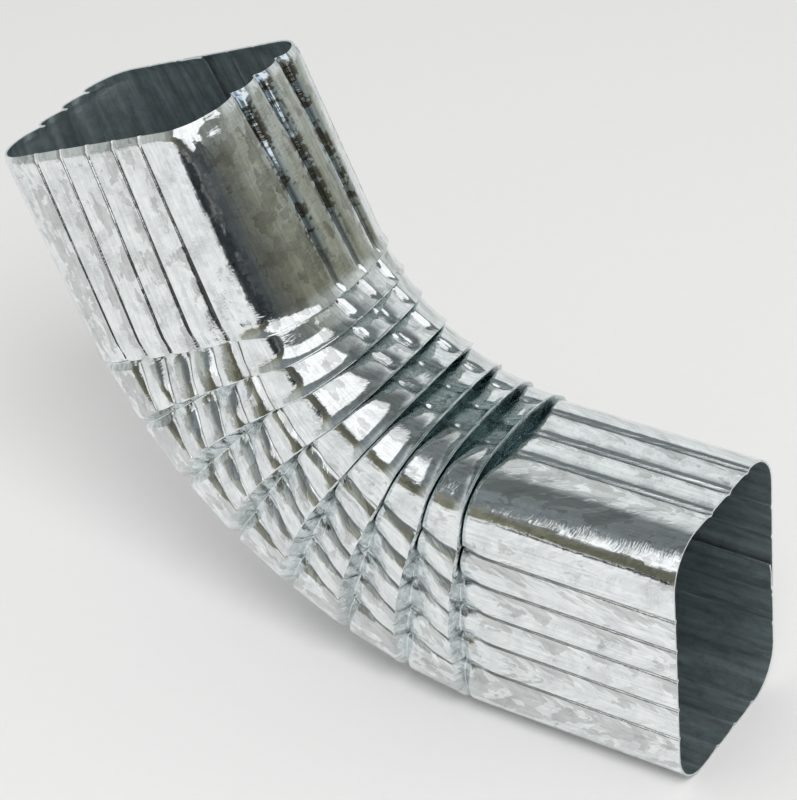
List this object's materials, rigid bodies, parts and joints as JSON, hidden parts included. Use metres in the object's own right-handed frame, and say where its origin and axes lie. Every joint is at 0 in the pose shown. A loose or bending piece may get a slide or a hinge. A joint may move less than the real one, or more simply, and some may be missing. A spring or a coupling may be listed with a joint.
{
  "type": "downspout elbow",
  "caption": "Corrugated rectangular downspout elbow in galvanised sheet steel, bent towards its throat by crimped folds, with plain open ends.",
  "frame": {"origin": "middle of the inlet opening, in the plane of its rim", "axes": "+X along the outlet arm, out of its opening; +Y across the narrow faces, the lap seam on the +Y side; +Z from the outlet arm's heel face to its throat face"},
  "size_m": [0.1974, 0.06, 0.1611],
  "materials": {
    "galvanised_sheet": "hot-dip galvanised sheet, bright, with angular spangle and fine marks across it"
  },
  "bodies": {
    "root": {"elbow": "galvanised_sheet"}
  },
  "joints": []
}
